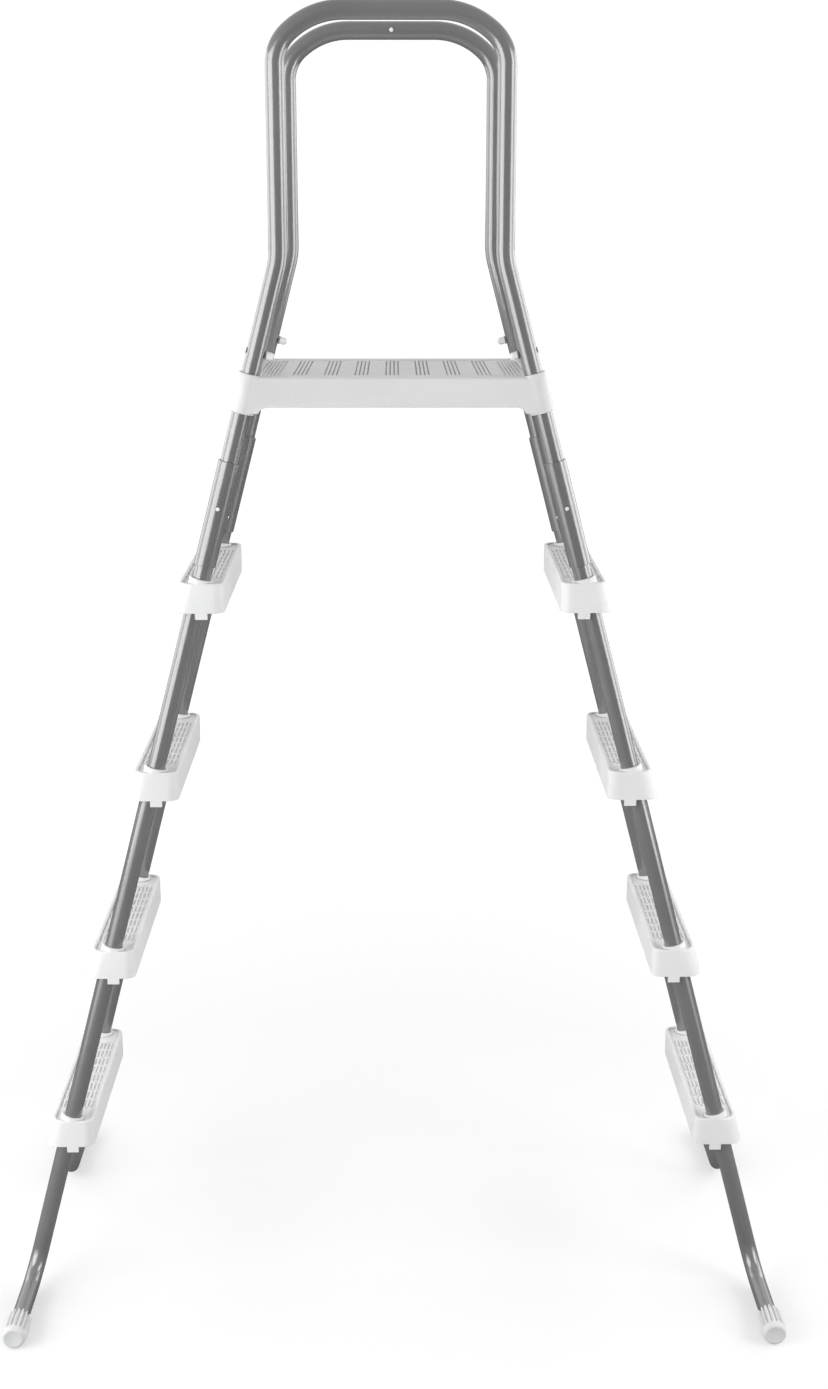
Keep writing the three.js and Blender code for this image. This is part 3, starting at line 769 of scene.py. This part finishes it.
def tray(outline, skirt, edge):
    """Rings of a tray turned upside down: its hollow, its skirt's foot and its rounded top edge.

    outline(inset, z) gives a ring; skirt is how far the foot is below the top.
    """
    roof = -TREAD_RECESS - SKIN
    rings = [outline(SKIN + FILLET, roof), outline(SKIN + 0.4 * MM, roof - 0.4 * MM),
             outline(SKIN, roof - FILLET), outline(SKIN, FOOT_EASE - skirt),
             outline(SKIN - FOOT_EASE, -skirt), outline(FOOT_EASE, -skirt),
             outline(0.0, FOOT_EASE - skirt)]
    for k in range(7):
        a = math.radians(90 * k / 6)
        rings.append(outline(edge * (1 - math.cos(a)), edge * (math.sin(a) - 1)))
    return rings


def step_outline(inset, z):
    """The step's outline, z above its tread; the outer side leans out below it."""
    flare = STEP_FLARE * max(0.0, -z) / STEP_SKIRT
    r0 = max(STEP_INNER_R - inset, SMALLEST_R)
    r1 = max(STEP_OUTER_R - inset, SMALLEST_R)
    return rounded_outline(inset - STEP_INNER, STEP_OUTER + flare - inset, HALF_WIDTH - inset,
                           r0, r1, z)


def low_bar(bm, x0, x1, y0, y1, z0, z1):
    """A bar with sloping sides, sunk into the surface below it."""
    foot = [(x0, y0), (x1, y0), (x1, y1), (x0, y1)]
    x0, x1, y0, y1 = x0 + BAR_EASE, x1 - BAR_EASE, y0 + BAR_EASE, y1 - BAR_EASE
    head = [(x0, y0), (x1, y0), (x1, y1), (x0, y1)]
    loft(bm, [[Vector((x, y, z0)) for x, y in foot], [Vector((x, y, z1)) for x, y in head]],
         cap_start=True, cap_end=True)


def tread_bars(bm, top):
    """Low grip bars along the tread, in blocks between the rows of holes."""
    for k in HOLE_ROWS[:-1]:
        y = (k + 0.5) * HOLE_PITCH
        for column in TREAD_BAR_COLUMNS:
            x = (column + 0.5) * TREAD_BAR_PITCH
            low_bar(bm, x - TREAD_BAR.x, x + TREAD_BAR.x, y - TREAD_BAR.y, y + TREAD_BAR.y,
                    top - SUNK, top + TREAD_BAR_TOP)


def drain_holes(bm):
    """Cutters for the rows of holes through the tread."""
    for k in HOLE_ROWS:
        for x in HOLE_COLUMNS:
            place = Matrix.Translation((x, k * HOLE_PITCH, 0))
            rod(bm, DRAIN_HOLE_R, -8 * MM, BITE, place, 20)


def breaks(centres, width):
    """Grid lines for strips with sloping sides, and which of the lines lie inside one."""
    lines = []
    for c in centres:
        lines += [(c - width / 2, False), (c - width / 2 + GROOVE_SLOPE, True),
                  (c + width / 2 - GROOVE_SLOPE, True), (c + width / 2, False)]
    return lines


def groove_places():
    """X of the middle of every groove."""
    middle = (GROOVES - 1) / 2
    return [group * GROOVE_GROUP_PITCH + (line - middle) * GROOVE_PITCH
            for group in GROOVE_GROUPS for line in range(GROOVES)]


def deck_plate(bm, floor):
    """A tread plate on the deck: groups of four grooves along its depth, with low bridges."""
    top, bridge, bottom, under = (floor + level for level in PLATE_LEVELS)
    columns = [(-PLATE_X, False)] + breaks(groove_places(), GROOVE_WIDTH) + [(PLATE_X, False)]
    end = PLATE_Y - GROOVE_MARGIN
    slope = 0.3 * MM
    bridges = breaks([k * BRIDGE_PITCH for k in BRIDGES], BRIDGE_WIDTH)
    rows = [(-PLATE_Y, False, False), (-end, False, False), (slope - end, True, False)]
    rows += [(y, True, inside) for y, inside in bridges]
    rows += [(end - slope, True, False), (end, False, False), (PLATE_Y, False, False)]
    grid = []
    for y, in_groove, on_bridge in rows:
        depth = bridge if on_bridge else bottom
        grid.append([bm.verts.new((x, y, depth if inside and in_groove else top))
                     for x, inside in columns])
    for near, far in zip(grid, grid[1:]):
        for i in range(len(near) - 1):
            bm.faces.new((near[i], near[i + 1], far[i + 1], far[i]))
    right, left = [row[-1] for row in grid[1:]], [row[0] for row in grid[-2:0:-1]]
    rim = grid[0] + right + grid[-1][-2::-1] + left
    foot = [bm.verts.new((v.co.x, v.co.y, under)) for v in rim]
    for i in range(len(rim)):
        j = (i + 1) % len(rim)
        bm.faces.new((rim[j], rim[i], foot[i], foot[j]))
    bm.faces.new(foot)


def deck_grip(bm, floor):
    """The tread plate, a stud at each end of every groove, and full ribs beside the plate."""
    deck_plate(bm, floor)
    low, high = (floor + level for level in STUD_LEVELS)
    for x in groove_places():
        for y in (-STUD_Y, STUD_Y):
            low_bar(bm, x - STUD, x + STUD, y - STUD, y + STUD, low, high)
    for side in (-1, 1):
        for line in range(SIDE_RIBS):
            x = side * (SIDE_RIB_X + SIDE_RIB_PITCH * line)
            low_bar(bm, x - STUD, x + STUD, -SIDE_RIB_Y, SIDE_RIB_Y,
                    floor - SUNK, floor + PLATE_LEVELS[0])


def collar(bm, low, high, place):
    """A round collar with eased ends."""
    ease = 1.2 * MM
    part = 0.35 * ease
    profile = [(COLLAR_R - ease, low), (COLLAR_R - part, low + part), (COLLAR_R, low + ease),
               (COLLAR_R, high - ease), (COLLAR_R - part, high - part), (COLLAR_R - ease, high)]
    loft(bm, [[place @ p for p in circle(r, z, 64)] for r, z in profile],
         cap_start=True, cap_end=True)


def step():
    """The right-hand step, its origin on the tubes' centreline at the tread."""
    rings = tray(step_outline, STEP_SKIRT, STEP_EDGE)
    rings += [step_outline(STEP_LIP - 0.6 * MM, 0.0), step_outline(STEP_LIP - 0.2 * MM, -0.15 * MM),
              step_outline(STEP_LIP, -0.6 * MM),
              step_outline(STEP_LIP + 0.1 * MM, 0.4 * MM - TREAD_RECESS),
              step_outline(STEP_LIP + 0.5 * MM, -TREAD_RECESS)]
    bm = bmesh.new()
    loft(bm, rings, cap_start=True, cap_end=True)
    mesh = mesh_of("step", bm)
    lean = Matrix.Rotation(-LEAN, 4, "Y")
    low, high = (z / math.cos(LEAN) for z in STEP_COLLAR)
    pin = Matrix.Translation((0, 0, -PIN_BELOW_TREAD / math.cos(LEAN))) @ ALONG_Y
    extra = bmesh.new()
    cutters = bmesh.new()
    for y in STEP_RIBS:
        box_mesh(extra, (1 * MM - STEP_INNER, y - RIB / 2, -STEP_RIB_DEPTH),
                 (STEP_OUTER - 1 * MM, y + RIB / 2, -TREAD_RECESS - 1 * MM))
    for _, end in ENDS:
        leg_place = Matrix.Translation((0, end * TUBE_PLANE, 0)) @ lean
        collar(extra, low, high, leg_place)
        y = end * (HALF_WIDTH - TAB_THICKNESS / 2)
        box_mesh(extra, (TAB[0], y - TAB_THICKNESS / 2, TAB_FOOT),
                 (TAB[1], y + TAB_THICKNESS / 2, BITE - STEP_SKIRT))
        rod(cutters, HOLE_R, -80 * MM, 40 * MM, leg_place, 64)
        mirror = Matrix.Diagonal((1, end, 1, 1)) @ Matrix.Translation((0, TUBE_PLANE, 0))
        rod(cutters, PIN_R + GAP, -COLLAR_R - BITE, 0, mirror @ lean @ pin, 24)
    drain_holes(cutters)
    mesh = boolean(mesh, extra, "UNION")
    mesh = boolean(mesh, cutters, "DIFFERENCE")
    grip = bmesh.new()
    tread_bars(grip, -TREAD_RECESS)
    return with_patch(mesh, grip)


def with_patch(mesh, bm):
    """The mesh with more closed bodies added to it, not fused."""
    finish_faces(bm)
    patch = bpy.data.meshes.new("patch")
    bm.to_mesh(patch)
    bm.free()
    whole = bmesh.new()
    whole.from_mesh(mesh)
    whole.from_mesh(patch)
    return mesh_of(mesh.name, whole)


def around_legs(inset, z):
    """The platform's outline: round all four leg tubes, so its ends lean with them."""
    r = max(COLLAR_R - SKIRT_INSET - inset, SMALLEST_R)
    reach = leg_x(DECK_Z + z) + COLLAR_R - SKIRT_INSET - inset
    return rounded_outline(-reach, reach, HALF_WIDTH - SKIRT_INSET - inset, r, r, DECK_Z + z)


def gusset(bm, side, end):
    """A small web below the skirt with a curved lower edge, from the skirt's foot to a collar."""
    under = DECK_Z - APRON
    edge = leg_x(under) - COLLAR_R
    low = under - GUSSET_DROP
    curve = GUSSET_REACH - GUSSET_FLAT
    profile = [(leg_x(under), under + 1 * MM), (leg_x(low), low), (edge - GUSSET_FLAT, low)]
    for k in range(1, 8):
        a = math.radians(90 * k / 8)
        profile.append((edge - GUSSET_FLAT - curve * (1 - math.cos(a)),
                        low + GUSSET_DROP * math.sin(a)))
    profile.append((edge - GUSSET_REACH, under + 1 * MM))
    rings = [[Vector((side * x, end * y, z)) for x, z in profile]
             for y in (HALF_WIDTH - SKIN - SKIRT_INSET, HALF_WIDTH - SKIRT_INSET)]
    loft(bm, rings, cap_start=True, cap_end=True)


def deck_panel(inset, z):
    """The outline of the recess in the deck."""
    r = max(DECK_PANEL_R - inset, SMALLEST_R)
    return rounded_outline(inset - DECK_PANEL_X, DECK_PANEL_X - inset, DECK_PANEL_Y - inset,
                           r, r, DECK_Z + z)


def platform():
    """The deck with its skirt, ribs, collars, gussets and grip."""
    rings = tray(around_legs, APRON, DECK_EDGE)
    rings += [deck_panel(-0.8 * MM, 0.0), deck_panel(-0.2 * MM, -0.2 * MM),
              deck_panel(0.0, -0.7 * MM), deck_panel(0.2 * MM, 0.4 * MM - TREAD_RECESS),
              deck_panel(0.7 * MM, -TREAD_RECESS)]
    bm = bmesh.new()
    loft(bm, rings, cap_start=True, cap_end=True)
    mesh = mesh_of("platform", bm)
    ribs = bmesh.new()
    foot, top = DECK_Z - DECK_RIB_DEPTH, DECK_Z - TREAD_RECESS - 1 * MM
    reach, width = leg_x(DECK_Z) + COLLAR_R - BITE, HALF_WIDTH - BITE
    for y in (-DECK_RIB_Y, DECK_RIB_Y):
        box_mesh(ribs, (-reach, y - RIB / 2, foot), (reach, y + RIB / 2, top))
    for x in (-DECK_RIB_X, DECK_RIB_X):
        box_mesh(ribs, (x - RIB / 2, -width, foot), (x + RIB / 2, width, top))
    collars = bmesh.new()
    bores = bmesh.new()
    low, high = (z / math.cos(LEAN) for z in DECK_COLLAR)
    for _, side in SIDES:
        for _, end in ENDS:
            place = Matrix.Diagonal((side, end, 1, 1)) @ on_leg(DECK_Z, TUBE_PLANE)
            collar(collars, low, high, place)
            gusset(collars, side, end)
            rod(bores, HOLE_R, low - 20 * MM, high + 20 * MM, place, 64)
    mesh = boolean(mesh, ribs, "UNION")
    mesh = boolean(mesh, collars, "UNION")
    mesh = boolean(mesh, bores, "DIFFERENCE")
    grip = bmesh.new()
    deck_grip(grip, DECK_Z - TREAD_RECESS)
    return with_patch(mesh, grip)


# ---- Assembly ----


def build():
    """All 57 pieces. Right-hand and far-end meshes are mirrored to make the others."""
    rail = handrail()
    plug = rail_plug()
    piece("platform", platform(), "upper_frame", "panel_plastic")
    for end_name, end in ENDS:
        place = (0.0, end * TUBE_PLANE, 0.0)
        piece(f"handrail_{end_name}", mirrored(rail, 1, -end), "upper_frame", "tube_paint", place)
        piece(f"rail_plug_{end_name}", mirrored(plug, 1, -end), "upper_frame",
              "fitting_plastic", place)
    bolt, nut, button, rivet = handrail_bolt(), cap_nut(), snap_button(), sleeve_rivet()
    sleeve_mesh, leg_mesh, cap_mesh, pin_mesh = sleeve(), leg(), foot_cap(), step_pin()
    step_mesh = step()
    for side_name, side in SIDES:
        ladder = f"{side_name}_ladder"
        for end_name, end in ENDS:
            tag = f"{side_name}_{end_name}"
            place = (0.0, end * TUBE_PLANE, 0.0)
            piece(f"handrail_bolt_{tag}", mirrored(bolt, side, 1), "upper_frame", "zinc", place)
            piece(f"cap_nut_{tag}", mirrored(nut, side, 1), "upper_frame", "fitting_plastic", place)
            piece(f"snap_button_{tag}", mirrored(button, side, end), f"button_{tag}",
                  "fitting_plastic")
            piece(f"sleeve_{tag}", mirrored(sleeve_mesh, side, end), ladder, "tube_paint")
            piece(f"sleeve_rivet_{tag}", mirrored(rivet, side, end), ladder, "zinc")
            piece(f"leg_{tag}", mirrored(leg_mesh, side, end), ladder, "tube_paint")
            piece(f"foot_cap_{tag}", mirrored(cap_mesh, side, end), ladder, "foot_rubber")
            pins = mirrored(pin_mesh, side, end)
            for k, z in enumerate(STEP_HEIGHTS):
                pin_z = z - PIN_BELOW_TREAD
                piece(f"step_pin_{tag}_{STEPS - k}", pins, ladder, "fitting_plastic",
                      (side * leg_x(pin_z), place[1], pin_z))
        steps = mirrored(step_mesh, side, 1)
        for k, z in enumerate(STEP_HEIGHTS):
            place = (side * leg_x(z), 0.0, z)
            piece(f"step_{side_name}_{STEPS - k}", steps, ladder, "tread_plastic", place)


build()

# ---- Studio ----

FLOOR_SIZE = 400.0
FLOOR_LIFT = (0.46, 0.76)  # near the object and far from it
FLOOR_LIFT_AT = (0.9, 3.2)  # metres from the middle
GLOW_SEEN = 1.05  # the surround, to the camera
GLOW = (0.28, 0.78)  # and to the object, from in front and from behind
PANELS = (
    # name, centre, (width, height), radiance
    ("panel_left", (-2.0, -1.5, 1.5), (2.3, 2.1), 3.6),
    ("panel_right", (2.15, -1.05, 1.5), (1.1, 2.1), 3.8),
    ("panel_left_low", (-2.0, -1.5, 0.12), (2.3, 0.6), 1.6),
    ("panel_right_low", (2.15, -1.05, 0.12), (1.1, 0.6), 1.1),
    ("panel_left_back", (-2.4, 0.9, 1.6), (2.4, 1.8), 1.6),
    ("panel_right_back", (2.4, 0.9, 1.6), (2.4, 1.8), 2.2),
)
CAMERA_LENS = 51.31
CAMERA_SHIFT_Y = 0.0773
CAMERA_PLACE = (3.4 * MM, -2890 * MM, DECK_Z + 220.8 * MM)
CAMERA_TIP = 16.748  # degrees down
CAMERA_TURN = -0.5514  # degrees about Z


def direction_glow(world):
    """White to the camera; to the object, a room that is dimmer in front than behind."""
    tree = world.node_tree
    background = tree.nodes["Background"]
    front, back = GLOW
    path = tree.nodes.new("ShaderNodeLightPath")
    place = tree.nodes.new("ShaderNodeTexCoord")
    split = tree.nodes.new("ShaderNodeSeparateXYZ")
    tree.links.new(place.outputs["Generated"], split.inputs[0])
    room = tree.nodes.new("ShaderNodeMapRange")
    for key, value in (("From Min", -1.0), ("From Max", 1.0), ("To Min", front), ("To Max", back)):
        room.inputs[key].default_value = value
    tree.links.new(split.outputs["Y"], room.inputs["Value"])
    choose = tree.nodes.new("ShaderNodeMix")
    choose.inputs["B"].default_value = GLOW_SEEN
    tree.links.new(path.outputs["Is Camera Ray"], choose.inputs["Factor"])
    tree.links.new(room.outputs["Result"], choose.inputs["A"])
    tree.links.new(choose.outputs[0], background.inputs["Strength"])


def floor_material():
    """Matt and pale. To the camera it is lifted to white, so that only shadows show.

    The tubes' gloss sees it dim, and from below it is clear.
    """
    n = Nodes("floor")
    n.set(Roughness=1.0, Specular_IOR_Level=0.0, Emission_Color=(1.0, 1.0, 0.995, 1.0))
    place = n.add("ShaderNodeNewGeometry")
    far = n.add("ShaderNodeVectorMath", operation="LENGTH")
    n.link(place.outputs["Position"], far.inputs[0])
    rise = n.spread(far.outputs["Value"], *FLOOR_LIFT, *FLOOR_LIFT_AT)
    path = n.add("ShaderNodeLightPath")
    shade = n.mix(path.outputs["Is Glossy Ray"], grey(0.5), grey(0.18))
    n.link(shade, n.shader.inputs["Base Color"])
    lift = n.add("ShaderNodeMath", operation="MULTIPLY")
    n.link(path.outputs["Is Camera Ray"], lift.inputs[0])
    n.link(rise, lift.inputs[1])
    n.link(lift.outputs[0], n.shader.inputs["Emission Strength"])
    above = n.add("ShaderNodeMath", operation="SUBTRACT")
    above.inputs[0].default_value = 1.0
    n.link(place.outputs["Backfacing"], above.inputs[1])
    n.link(above.outputs[0], n.shader.inputs["Alpha"])
    return n.material


def keep_below_feet(floor):
    """Lowers the floor with the ladder section that is slid down furthest."""
    driver = floor.driver_add("location", 2).driver
    driver.type = "SCRIPTED"
    for side_name, _ in SIDES:
        drop = driver.variables.new()
        drop.name = side_name
        drop.type = "TRANSFORMS"
        drop.targets[0].id = bpy.data.objects[f"body:{side_name}_ladder"]
        drop.targets[0].transform_type = "LOC_Z"
    driver.expression = "min(0, left, right)"


def studio():
    """A pale floor that meets a white surround, and soft panels on both sides."""
    bpy.ops.mesh.primitive_plane_add(size=FLOOR_SIZE)
    floor = bpy.context.object
    floor.name = "floor"
    floor.data.materials.append(floor_material())
    keep_below_feet(floor)

    world = bpy.context.scene.world or bpy.data.worlds.new("world")
    bpy.context.scene.world = world
    world.use_nodes = True
    world.node_tree.nodes["Background"].inputs["Color"].default_value = (1.0, 1.0, 1.0, 1.0)
    direction_glow(world)

    for name, place, size, radiance in PANELS:
        light = bpy.data.lights.new(name, "AREA")
        light.shape = "RECTANGLE"
        light.size, light.size_y = size
        light.energy = radiance * math.pi * size[0] * size[1]
        lamp = bpy.data.objects.new(name, light)
        lamp.location = place
        aim = Vector((0.0, 0.0, place[2])) - lamp.location
        lamp.rotation_euler = aim.to_track_quat("-Z", "Y").to_euler()
        bpy.context.scene.collection.objects.link(lamp)


def camera():
    """A camera a little above the platform, square to the ladder's side, tipped down."""
    data = bpy.data.cameras.new("camera")
    data.sensor_width = 36.0
    data.lens = CAMERA_LENS
    data.shift_y = CAMERA_SHIFT_Y
    obj = bpy.data.objects.new("camera", data)
    obj.location = CAMERA_PLACE
    obj.rotation_euler = (math.radians(90 - CAMERA_TIP), 0.0, math.radians(CAMERA_TURN))
    bpy.context.scene.collection.objects.link(obj)
    bpy.context.scene.camera = obj


studio()
camera()
bpy.context.scene.view_settings.view_transform = "Standard"
